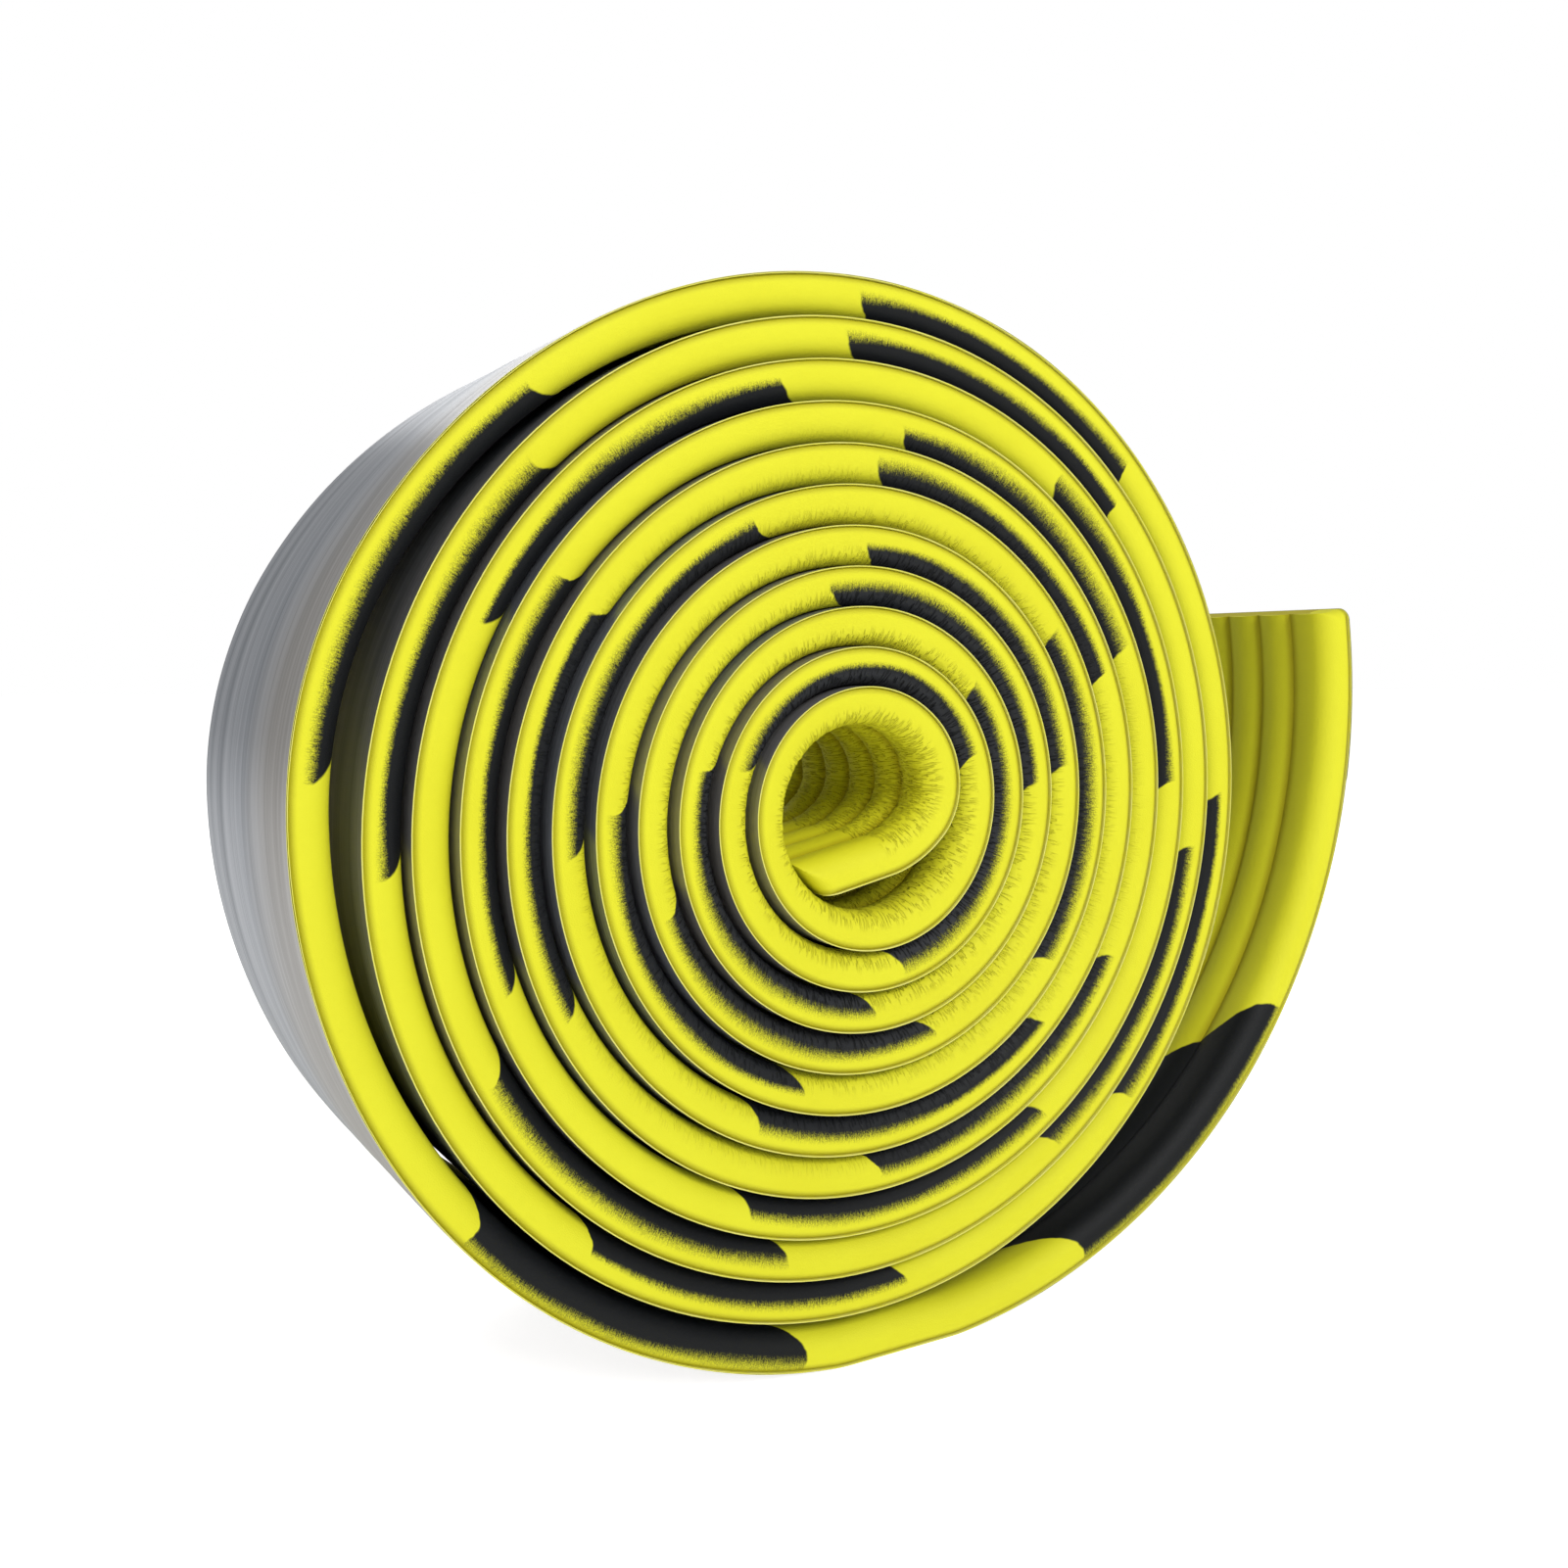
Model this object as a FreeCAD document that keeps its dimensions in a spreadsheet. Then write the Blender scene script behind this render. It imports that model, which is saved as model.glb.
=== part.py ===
import FreeCAD, Part
import math
import os

import Sketcher

# A roll of self-adhesive ribbed foam guard strip, standing on its rim with its outer end loose.
# The strip is wound about an axis along Y. It starts with a short straight lap across the open
# middle, curls tightly up to the first turn, winds outwards turn on turn, hangs a little slack
# round its last turn, rests on a short flat and then lifts off in one wide loose curve. Every stretch is a straight run or an arc that
# is tangent to the one before it. The line that is followed is the foam's plain back: the foam
# lies on its inner side, the adhesive and the release film on its outer side.
# Angles are in degrees in the XZ plane, from +X towards +Z, and count on from turn to turn.

doc = FreeCAD.newDocument("guard_strip_roll")
sheet = doc.addObject("Spreadsheet::Sheet", "sizes")

SIZES = {
    # the strip's section
    "strip_width": 80,
    "foam_thickness": 8,
    "edge_radius": 5.5,
    "edge_rib_width": 13.3,
    "groove_depth": 1.6,
    "adhesive_thickness": 0.15,
    "film_thickness": 0.1,
    # the wound part
    "wrap_gap": 0.35,
    "lean_sideways": 0.26,
    "lean_down": 0.22,
    "core_radius": 25.38,
    "turns": 10,
    # the strip's inner end, which crosses the open middle inside the first turn
    "lap_angle": -77.5,
    "lap_clearance": 0.35,
    "lap_radius": 27,
    "curl_radius": 16,
    "joining_radius": 20,
    # the slack last turn and its rest on the ground
    "outer_slack": 7.5,
    "ground_slack": 4,
    "ground_flat": 26,
    "ground_corner_radius": 44,
    "ground_corner_angle": 6,
    # the loose end
    "loose_radius": 140,
    "loose_start_angle": 282,
    "loose_end_angle": 371,
    "bend_gap": 0.9,
    "peel_length": 45,
    "peel_clearance": 0.2,
}
for row, (alias, value) in enumerate(SIZES.items(), 1):
    sheet.set(f"A{row}", alias)
    sheet.set(f"B{row}", str(value))
    sheet.setAlias(f"B{row}", alias)
doc.recompute()


def size(alias):
    return float(sheet.get(alias))


MIDDLE_RIBS = 5
LOOSE_LENGTHS = 4
STEP_ANGLE = 45  # each arc of the winding
CORE_ARCS = (  # where each arc of the core ends, and its radius
    (-45, "lap_radius"),
    (0, "curl_radius"),
    (45, "joining_radius"),
)
TOP_ANGLE = 90  # where the last turn goes slack
SLACK_PEAK_ANGLE = 150
LEFT_ANGLE = 180
GROUND_ANGLE = 270
SLACK_DROP = 2.5  # how much tighter the slack turn's shoulder is than its two long arcs

LAMINATE = size("foam_thickness") + size("adhesive_thickness") + size("film_thickness")
PITCH = LAMINATE + size("wrap_gap")
SKIN = size("adhesive_thickness") + size("film_thickness")


# ---------------------------------------------------------------- the wound line
def direction(angle):
    a = math.radians(angle)
    return FreeCAD.Vector(math.cos(a), 0, math.sin(a))


def tangent(angle):
    return direction(angle + 90)


class Run:
    """One stretch of the wound line: an arc about a centre, or a straight run at one angle."""

    def __init__(self, start, end, radius=None, centre=None, origin=None, length=None):
        self.start = start
        self.end = end
        self.radius = radius
        self.centre = centre
        self.origin = origin
        self.length = length or radius * math.radians(end - start)

    def point(self, angle, share=0.0):
        if self.radius is None:
            return self.origin + tangent(self.start) * (self.length * share)
        return self.centre + direction(angle) * self.radius

    def edge(self, start, end):
        if self.radius is None:
            return Part.LineSegment(self.point(0, 0), self.point(0, 1)).toShape()
        middle = (start + end) / 2
        return Part.Arc(self.point(start), self.point(middle), self.point(end)).toShape()


def lap_run(runs):
    """The straight lap: it runs back from the first arc until it nears the turn outside it."""
    angle = runs[0].start
    start = runs[0].point(angle)
    corner = start + direction(angle) * SKIN
    back = tangent(angle) * -1
    lengths = []
    for run in runs:
        if LEFT_ANGLE <= run.start < GROUND_ANGLE:
            room = run.radius - size("foam_thickness") - size("lap_clearance")
            away = corner - run.centre
            nearest = away.dot(back)
            lengths.append(math.sqrt(room**2 - away.dot(away) + nearest**2) - nearest)
    return Run(angle, angle, origin=start + back * min(lengths), length=min(lengths))


def wound_line():
    """The list of runs from the strip's inner end to its outer end."""
    runs = []
    place = FreeCAD.Vector(0, 0, 0)

    def add_arc(start, end, radius):
        nonlocal place
        centre = place - direction(start) * radius
        runs.append(Run(start, end, radius=radius, centre=centre))
        place = runs[-1].point(end)

    # the core curls up from the lap to where the regular winding starts
    angle = size("lap_angle")
    for arc_end_angle, alias in CORE_ARCS:
        add_arc(angle, arc_end_angle, size(alias))
        angle = arc_end_angle

    # the regular winding: the radius grows by an even share of the pitch at each step, and a
    # little more on the right and the top, which lets the wraps hang down and to the left
    radius = size("core_radius")
    growth = PITCH * STEP_ANGLE / 360
    slack_start = 360 * size("turns") + TOP_ANGLE
    while angle < slack_start:
        add_arc(angle, angle + STEP_ANGLE, radius)
        angle += STEP_ANGLE
        lean = direction(angle).dot(FreeCAD.Vector(size("lean_sideways"), 0, size("lean_down")))
        radius += growth + lean / 4
    runs.insert(0, lap_run(runs))

    # the slack last turn
    whole = 360 * size("turns")
    slack = size("outer_slack")
    corner_angle = size("ground_corner_angle")
    add_arc(whole + TOP_ANGLE, whole + SLACK_PEAK_ANGLE, radius + slack)
    add_arc(whole + SLACK_PEAK_ANGLE, whole + LEFT_ANGLE, radius - SLACK_DROP * slack)
    ground = whole + GROUND_ANGLE
    add_arc(whole + LEFT_ANGLE, ground - corner_angle, radius + slack + size("ground_slack"))

    # the flat that it stands on, and the loose end
    add_arc(ground - corner_angle, ground, size("ground_corner_radius"))
    runs.append(Run(ground, ground, origin=place, length=size("ground_flat")))
    place = runs[-1].point(0, 1)
    add_arc(ground, ground + corner_angle, size("ground_corner_radius"))
    add_arc(ground + corner_angle, whole + size("loose_end_angle"), size("loose_radius"))
    return runs


RUNS = wound_line()
WHOLE = 360 * size("turns")
LOOSE_RUN = RUNS[-1]
GROUND_RUN = [run for run in RUNS if run.radius is None][-1]


def mark(angle):
    """The arc of the wound line that holds an angle."""
    for run in RUNS:
        if run.radius is not None and run.start <= angle <= run.end:
            return run
    raise ValueError(f"the strip has no arc at {angle} degrees")


# the frame's origin: the middle of the whole object's box, on the ground
left_run = mark(WHOLE + LEFT_ANGLE)
LEFT = left_run.point(WHOLE + LEFT_ANGLE).x - SKIN
PROUD = SKIN + size("peel_clearance")
right_angle = min(WHOLE + 360, LOOSE_RUN.end)
peel_start = LOOSE_RUN.end - math.degrees(size("peel_length") / LOOSE_RUN.radius)
RIGHT = LOOSE_RUN.point(right_angle).x + (PROUD if right_angle > peel_start else SKIN)
GROUND = GROUND_RUN.point(0, 0).z - SKIN
SHIFT = FreeCAD.Vector(-(LEFT + RIGHT) / 2, 0, -GROUND)
for run in RUNS:
    if run.radius is None:
        run.origin = run.origin + SHIFT
    else:
        run.centre = run.centre + SHIFT


def spine(name, start=None, end=None):
    """The wound line from one angle to another, as a wire; None is the strip's own end."""
    edges = []
    for run in RUNS:
        low = run.start if start is None else max(run.start, start)
        high = run.end if end is None else min(run.end, end)
        inside = low < high or (run.radius is None and low == high)
        if inside:
            edges.append(run.edge(low, high))
    wire = doc.addObject("Part::Feature", name)
    wire.Shape = Part.Wire(edges)
    return wire


def across(start):
    """The placement of a section: its x along the strip's width, its y towards the roll's middle."""
    if start is None:
        run = RUNS[0]
        angle = run.start
        place = run.point(0, 0)
    else:
        run = mark(start)
        angle = start
        place = run.point(start)
    turn = FreeCAD.Rotation(FreeCAD.Vector(0, 1, 0), -direction(angle), tangent(angle), "ZXY")
    return FreeCAD.Placement(place, turn)


# ---------------------------------------------------------------- the sections
def pin_point(sketch, curve, end, x_rule, y_rule):
    """Hold a curve's end at a place that the sheet's cells give."""
    for kind, rule in (("DistanceX", x_rule), ("DistanceY", y_rule)):
        at = sketch.getPoint(curve, end)
        value = at.x if kind == "DistanceX" else at.y
        index = sketch.addConstraint(Sketcher.Constraint(kind, -1, 1, curve, end, value))
        sketch.setExpression(f"Constraints[{index}]", rule)


def chain(sketch, corners, bulges):
    """A closed outline of lines and arcs through the corners; a bulge is an arc's height."""
    count = len(corners)
    points = [FreeCAD.Vector(x, y, 0) for x, y, _, _ in corners]
    for i in range(count):
        a = points[i]
        b = points[(i + 1) % count]
        if bulges[i] is None:
            sketch.addGeometry(Part.LineSegment(a, b))
        else:
            chord = b - a
            normal = FreeCAD.Vector(chord.y, -chord.x, 0).normalize()
            middle = (a + b) / 2 + normal * bulges[i][0]
            sketch.addGeometry(Part.Arc(a, middle, b))
    for i in range(count):
        follows = (i + 1) % count
        here = (i, 2) if bulges[i] is None else arc_end(sketch, i, points[follows])
        there = (follows, 1) if bulges[follows] is None else arc_end(sketch, follows, points[follows])
        sketch.addConstraint(Sketcher.Constraint("Coincident", *here, *there))
        pin_point(sketch, *here, corners[follows][2], corners[follows][3])
    for i in range(count):
        if bulges[i] is not None:
            radius = sketch.Geometry[i].Radius
            index = sketch.addConstraint(Sketcher.Constraint("Radius", i, radius))
            sketch.setExpression(f"Constraints[{index}]", bulges[i][1])


def arc_end(sketch, index, point):
    """Which end of a sketch arc lies at a point."""
    first = sketch.getPoint(index, 1)
    return (index, 1) if first.distanceToPoint(point) < 1e-6 else (index, 2)


def foam_section(name, start):
    """Plain back, rounded long edges, and a face of shallow round ribs with narrow grooves."""
    half = size("strip_width") / 2
    thick = size("foam_thickness")
    edge = size("edge_radius")
    rib = (size("strip_width") - 2 * size("edge_rib_width")) / MIDDLE_RIBS
    groove = size("groove_depth")
    shoulder = size("edge_rib_width") - edge
    s = "sizes."
    half_rule = s + "strip_width / 2"
    rib_rule = f"(({s}strip_width - 2 * {s}edge_rib_width) / {MIDDLE_RIBS})"
    shoulder_rule = f"({s}edge_rib_width - {s}edge_radius)"

    corners = []
    bulges = []

    def corner(x, y, x_rule, y_rule, bulge=None):
        corners.append((x, y, x_rule, y_rule))
        bulges.append(bulge)

    edge_bulge = (edge * (1 - math.sqrt(0.5)), s + "edge_radius")
    shoulder_radius = (shoulder**2 + groove**2) / (2 * groove)
    shoulder_chord = math.hypot(shoulder, groove)
    shoulder_height = shoulder_radius - math.sqrt(shoulder_radius**2 - shoulder_chord**2 / 4)
    shoulder_bulge = (
        shoulder_height,
        f"({shoulder_rule} ^ 2 + {s}groove_depth ^ 2) / (2 * {s}groove_depth)",
    )
    rib_bulge = (groove, f"(({rib_rule} / 2) ^ 2 + {s}groove_depth ^ 2) / (2 * {s}groove_depth)")
    side_rule = s + "foam_thickness - " + s + "edge_radius"
    crest_rule = s + "foam_thickness"
    valley_rule = s + "foam_thickness - " + s + "groove_depth"

    corner(-half, 0, "-" + half_rule, "0 mm")
    corner(half, 0, half_rule, "0 mm")
    corner(half, thick - edge, half_rule, side_rule, edge_bulge)
    corner(half - edge, thick, f"{half_rule} - {s}edge_radius", crest_rule, shoulder_bulge)
    for i in range(MIDDLE_RIBS):
        x = half - size("edge_rib_width") - i * rib
        x_rule = f"{half_rule} - {s}edge_rib_width - {i} * {rib_rule}"
        corner(x, thick - groove, x_rule, valley_rule, rib_bulge)
    last_rule = f"{s}edge_rib_width - {half_rule}"
    corner(size("edge_rib_width") - half, thick - groove, last_rule, valley_rule, shoulder_bulge)
    corner(edge - half, thick, f"{s}edge_radius - {half_rule}", crest_rule, edge_bulge)
    corner(-half, thick - edge, "-" + half_rule, side_rule)

    sketch = doc.addObject("Sketcher::SketchObject", name)
    chain(sketch, corners, bulges)
    sketch.Placement = across(start)
    return sketch


def depth(aliases):
    """A depth below the foam's back: the sum of some cells, as a rule and as a number."""
    rule = " + ".join(f"sizes.{alias}" for alias in aliases) or "0 mm"
    return f"-({rule})", -sum(size(alias) for alias in aliases)


def layer_section(name, start, inner, outer):
    """A thin flat layer on the foam's back, between two depths."""
    half = size("strip_width") / 2
    half_rule = "sizes.strip_width / 2"
    inner_rule, inner_y = depth(inner)
    outer_rule, outer_y = depth(outer)
    corners = [
        (-half, outer_y, "-" + half_rule, outer_rule),
        (half, outer_y, half_rule, outer_rule),
        (half, inner_y, half_rule, inner_rule),
        (-half, inner_y, "-" + half_rule, inner_rule),
    ]
    sketch = doc.addObject("Sketcher::SketchObject", name)
    chain(sketch, corners, [None] * len(corners))
    sketch.Placement = across(start)
    return sketch


# ---------------------------------------------------------------- the swept pieces
NODES = []


def sweep(label, section, start, end):
    """Sweep a section along the wound line from one angle to another."""
    path = spine(label + "_line", start, end)
    doc.recompute()
    piece = doc.addObject("Part::Sweep", label)
    piece.Sections = [section]
    piece.Spine = (path, [f"Edge{i + 1}" for i in range(len(path.Shape.Edges))])
    piece.Solid = True
    piece.Frenet = False
    piece.Label = label
    NODES.append(piece)
    return piece


# each layer's inner and outer depth below the foam's back, as cells of the sheet
ADHESIVE = ([], ["adhesive_thickness"])
FILM = (["adhesive_thickness"], ["adhesive_thickness", "film_thickness"])
PEELING = tuple(depths + ["peel_clearance"] for depths in FILM)


def foam(label, start, end):
    return sweep(label, foam_section(label + "_section", start), start, end)


def layer(label, depths, start, end):
    return sweep(label, layer_section(label + "_section", start, *depths), start, end)


half_gap = math.degrees(size("bend_gap") / 2 / LOOSE_RUN.radius)
loose_start = WHOLE + size("loose_start_angle")
loose_step = (LOOSE_RUN.end - loose_start) / LOOSE_LENGTHS
cover_start = WHOLE - STEP_ANGLE / 2  # from here on the film is the roll's outside
roll_end = loose_start - half_gap

foam("foam_roll", None, roll_end)
layer("adhesive_roll", ADHESIVE, None, roll_end)
layer("film_between_wraps", FILM, None, cover_start)
layer("film_outer_turn", FILM, cover_start, roll_end)

HINGES = []
for i in range(LOOSE_LENGTHS):
    hinge_angle = loose_start + i * loose_step
    start = hinge_angle + half_gap
    last = i == LOOSE_LENGTHS - 1
    end = LOOSE_RUN.end if last else hinge_angle + loose_step - half_gap
    HINGES.append(LOOSE_RUN.point(hinge_angle) + direction(hinge_angle) * SKIN)
    foam(f"foam_loose_{i + 1}", start, end)
    layer(f"adhesive_loose_{i + 1}", ADHESIVE, start, end)
    layer(f"film_loose_{i + 1}", FILM, start, peel_start - half_gap if last else end)
layer("film_peeling_end", PEELING, peel_start, LOOSE_RUN.end)
peel_hinge = LOOSE_RUN.point(peel_start) + direction(peel_start) * PROUD

doc.recompute()

# ---------------------------------------------------------------- checks and files
for thing in doc.Objects:
    if "Invalid" in thing.State or "Error" in thing.State:
        raise RuntimeError(f"{thing.Label} failed: {thing.State}")
for node in NODES:
    if node.Shape.isNull() or not node.Shape.isValid() or not node.Shape.Solids:
        raise RuntimeError(f"{node.Label} has no valid solid")
    if node.Shape.Volume <= 0:
        raise RuntimeError(f"{node.Label} is inside out")

os.makedirs("parts", exist_ok=True)
for node in NODES:
    node.Shape.exportStep(f"parts/{node.Label}.step")

box = FreeCAD.BoundBox()
for node in NODES:
    box.add(node.Shape.optimalBoundingBox(True, False))
print("box", [round(v, 3) for v in (box.XMin, box.YMin, box.ZMin, box.XMax, box.YMax, box.ZMax)])
print("strip length", round(sum(run.length for run in RUNS), 1), "pitch", PITCH)
for i, hinge in enumerate(HINGES, 1):
    print("bend", i, [round(v, 3) for v in hinge])
print("peel", [round(v, 3) for v in peel_hinge])
print("shift", [round(v, 3) for v in SHIFT])
print("volumes", {node.Label: round(node.Shape.Volume, 1) for node in NODES})
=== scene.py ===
# %% [markdown]
# # A roll of ribbed foam guard strip
# The real object is one long strip of soft foam with a ribbed face, adhesive on its plain back and
# a grey release film over the adhesive. It is wound into a roll that stands on its rim, with its
# outer end loose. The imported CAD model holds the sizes, the bodies and the joints. This script
# builds what is seen: it repeats the line that the strip is wound on, lets Geometry Nodes sweep
# the strip's section along it, and gives foam, adhesive and film their finishes.

import math

import bmesh
import bpy
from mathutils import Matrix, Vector


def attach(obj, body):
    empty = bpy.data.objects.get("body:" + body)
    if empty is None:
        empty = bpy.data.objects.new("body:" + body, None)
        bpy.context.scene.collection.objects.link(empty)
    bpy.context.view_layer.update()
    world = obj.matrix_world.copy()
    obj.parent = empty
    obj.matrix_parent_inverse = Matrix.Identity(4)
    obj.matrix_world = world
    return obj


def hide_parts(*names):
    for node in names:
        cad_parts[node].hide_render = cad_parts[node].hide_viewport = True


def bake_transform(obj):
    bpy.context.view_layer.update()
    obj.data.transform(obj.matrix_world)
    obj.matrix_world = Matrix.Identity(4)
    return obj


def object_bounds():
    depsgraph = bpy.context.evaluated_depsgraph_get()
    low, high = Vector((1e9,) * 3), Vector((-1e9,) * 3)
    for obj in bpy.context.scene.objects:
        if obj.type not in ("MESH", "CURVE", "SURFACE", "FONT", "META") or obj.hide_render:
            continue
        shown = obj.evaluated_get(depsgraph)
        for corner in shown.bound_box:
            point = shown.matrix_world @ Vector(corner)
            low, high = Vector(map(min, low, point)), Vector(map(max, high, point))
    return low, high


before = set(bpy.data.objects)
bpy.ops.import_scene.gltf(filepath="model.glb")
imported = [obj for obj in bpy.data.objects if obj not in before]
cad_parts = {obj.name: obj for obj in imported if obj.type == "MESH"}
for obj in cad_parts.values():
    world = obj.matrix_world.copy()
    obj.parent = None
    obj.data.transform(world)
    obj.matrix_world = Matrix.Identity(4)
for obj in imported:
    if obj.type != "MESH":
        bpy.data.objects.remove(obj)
CAD_LOW, CAD_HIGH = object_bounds()
print("CAD box in mm", [round(v * 1000, 1) for v in (*CAD_LOW, *CAD_HIGH)])

# %% [markdown]
# ## Sizes
# These are the driving sizes of the CAD model, in metres and degrees. Angles lie in the XZ plane
# from +X towards +Z and count on from turn to turn, so the tenth turn ends at 3600 degrees.

# %% The strip's and the roll's sizes
MM = 0.001

STRIP_WIDTH = 80 * MM
FOAM_THICKNESS = 8 * MM
EDGE_RADIUS = 5.5 * MM
EDGE_RIB_WIDTH = 13.3 * MM
GROOVE_DEPTH = 1.6 * MM
MIDDLE_RIBS = 5
ADHESIVE_THICKNESS = 0.15 * MM
FILM_THICKNESS = 0.1 * MM
SKIN = ADHESIVE_THICKNESS + FILM_THICKNESS
PEEL_CLEARANCE = 0.2 * MM

WRAP_GAP = 0.35 * MM
PITCH = FOAM_THICKNESS + SKIN + WRAP_GAP
LEAN = (0.26 * MM, 0.22 * MM)
CORE_RADIUS = 25.38 * MM
LAP_ANGLE = -77.5
LAP_CLEARANCE = 0.35 * MM
CORE_ARCS = ((-45, 27 * MM), (0, 16 * MM), (45, 20 * MM))
STEP_ANGLE = 45
WHOLE = 3600

OUTER_SLACK = 7.5 * MM
GROUND_SLACK = 4 * MM
SLACK_DROP = 2.5
GROUND_FLAT = 26 * MM
GROUND_CORNER_RADIUS = 44 * MM
GROUND_CORNER_ANGLE = 6
LOOSE_RADIUS = 140 * MM
LOOSE_START = WHOLE + 282
LOOSE_END = WHOLE + 371
LOOSE_LENGTHS = 4
PEEL_LENGTH = 45 * MM

print("pitch of the wraps in mm", round(PITCH / MM, 2))

# %% [markdown]
# ## The wound line
# The line is the foam's plain back. It starts with a straight lap across the open middle, and goes
# on as a chain of arcs, each tangent to the one before: three for the core, then eight a turn whose
# radius grows by an even share of the pitch, a slack last turn, a short flat on the ground and one
# wide loose arc. A loop makes it, as the CAD source does, so that both follow one rule. The lap
# runs back until it nears the turn outside it. The frame says where the line lies: its left side
# and its flat touch the CAD box.


# %% Build the runs of the wound line
def direction(angle):
    return Vector((math.cos(math.radians(angle)), 0, math.sin(math.radians(angle))))


def tangent(angle):
    return direction(angle + 90)


def wound_line():
    """Each run is (start angle, end angle, radius, centre, its length along the arcs before it)."""
    runs = []
    place = Vector((0, 0, 0))
    along = 0

    def add_arc(start, end, radius):
        nonlocal place, along
        centre = place - direction(start) * radius
        runs.append((start, end, radius, centre, along))
        place = centre + direction(end) * radius
        along += radius * math.radians(end - start)

    angle = LAP_ANGLE
    for arc_end, radius in CORE_ARCS:
        add_arc(angle, arc_end, radius)
        angle = arc_end
    radius = CORE_RADIUS
    while angle < WHOLE + 90:
        add_arc(angle, angle + STEP_ANGLE, radius)
        angle += STEP_ANGLE
        lean = direction(angle).dot(Vector((LEAN[0], 0, LEAN[1])))
        radius += PITCH * STEP_ANGLE / 360 + lean / 4

    add_arc(WHOLE + 90, WHOLE + 150, radius + OUTER_SLACK)
    add_arc(WHOLE + 150, WHOLE + 180, radius - SLACK_DROP * OUTER_SLACK)
    ground = WHOLE + 270
    add_arc(WHOLE + 180, ground - GROUND_CORNER_ANGLE, radius + OUTER_SLACK + GROUND_SLACK)
    add_arc(ground - GROUND_CORNER_ANGLE, ground, GROUND_CORNER_RADIUS)
    place += tangent(ground) * GROUND_FLAT
    along += GROUND_FLAT
    add_arc(ground, ground + GROUND_CORNER_ANGLE, GROUND_CORNER_RADIUS)
    add_arc(ground + GROUND_CORNER_ANGLE, LOOSE_END, LOOSE_RADIUS)
    return runs, along


RUNS, ARCS_LENGTH = wound_line()


def lap_length():
    """How far the lap runs back before the film's corner nears the foam of the turn outside it."""
    corner = direction(LAP_ANGLE) * SKIN
    back = -tangent(LAP_ANGLE)
    lengths = []
    for start, _, radius, centre, _ in RUNS:
        if 180 <= start < 270:
            room = radius - FOAM_THICKNESS - LAP_CLEARANCE
            away = corner - centre
            nearest = away.dot(back)
            lengths.append(math.sqrt(room**2 - away.length_squared + nearest**2) - nearest)
    return min(lengths)


LAP_LENGTH = lap_length()
STRIP_LENGTH = LAP_LENGTH + ARCS_LENGTH


def run_at(angle):
    return next(run for run in RUNS if run[0] <= angle <= run[1])


def raw_point(angle):
    _, _, radius, centre, _ = run_at(angle)
    return centre + direction(angle) * radius


SHIFT = Vector((
    CAD_LOW.x + SKIN - raw_point(WHOLE + 180).x,
    0,
    CAD_LOW.z + SKIN - raw_point(WHOLE + 270).z,
))


def line_point(angle):
    return raw_point(angle) + SHIFT


def along_at(angle):
    start, _, radius, _, before = run_at(angle)
    return LAP_LENGTH + before + radius * math.radians(angle - start)


print("strip length in m", round(STRIP_LENGTH, 4), "in", len(RUNS), "arcs")
print("lap in mm", round(LAP_LENGTH / MM, 1))

# %% [markdown]
# ## Where the strip is divided
# The strip is one piece on the real object, but here it follows several bodies. The wound part
# rides on one body. The loose end has four hinges that stand in for the foam's bending, so it is
# cut halfway between hinges, one length across each hinge. Two neighbours meet where both follow
# the same body, so that no gap opens between them.

# %% Name the places where lengths of the strip meet
LOOSE_STEP = (LOOSE_END - LOOSE_START) / LOOSE_LENGTHS
PEEL_START = LOOSE_END - math.degrees(PEEL_LENGTH / LOOSE_RADIUS)
ROLL_END = LOOSE_START - 5
BENDS = [ROLL_END]
for number in range(LOOSE_LENGTHS - 1):
    BENDS.append(LOOSE_START + (number + 0.5) * LOOSE_STEP)
BENDS.append(PEEL_START)
FINE_END = 3 * 360
MIDDLE_END = 7 * 360
COVER_START = WHOLE - STEP_ANGLE / 2
print("lengths meet at", [round(b - WHOLE, 1) for b in BENDS], "degrees of the last turn")

# %% [markdown]
# ## Paths with attributes
# A sweep needs a path. Each path is a plain chain of vertices, sampled every degree or two on the
# arcs. Every vertex also stores how far along the strip it lies, how sharply the strip is bent
# there, and which way is towards the roll's middle. Geometry Nodes carry these attributes onto
# the swept surface, where creases and paint need them. A path's last two vertices lie very close
# together, which makes its end face exactly square to the line.

# %% Helpers that sample the line into a path
END_STEP = 0.02
CORNER_RADIUS = 3 * MM
CORNER_SAMPLES = 8


def arc_angles(start, end, step):
    """Angles from start to end that fall on every arc's ends, with square end faces."""
    inner = {start, start + END_STEP, end - END_STEP, end}
    for low, high, *_ in RUNS:
        first = max(low, start)
        last = min(high, end)
        if first < last:
            count = math.ceil((last - first) / step)
            inner.update(first + (last - first) * i / count for i in range(count + 1))
    return sorted(inner)


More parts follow.
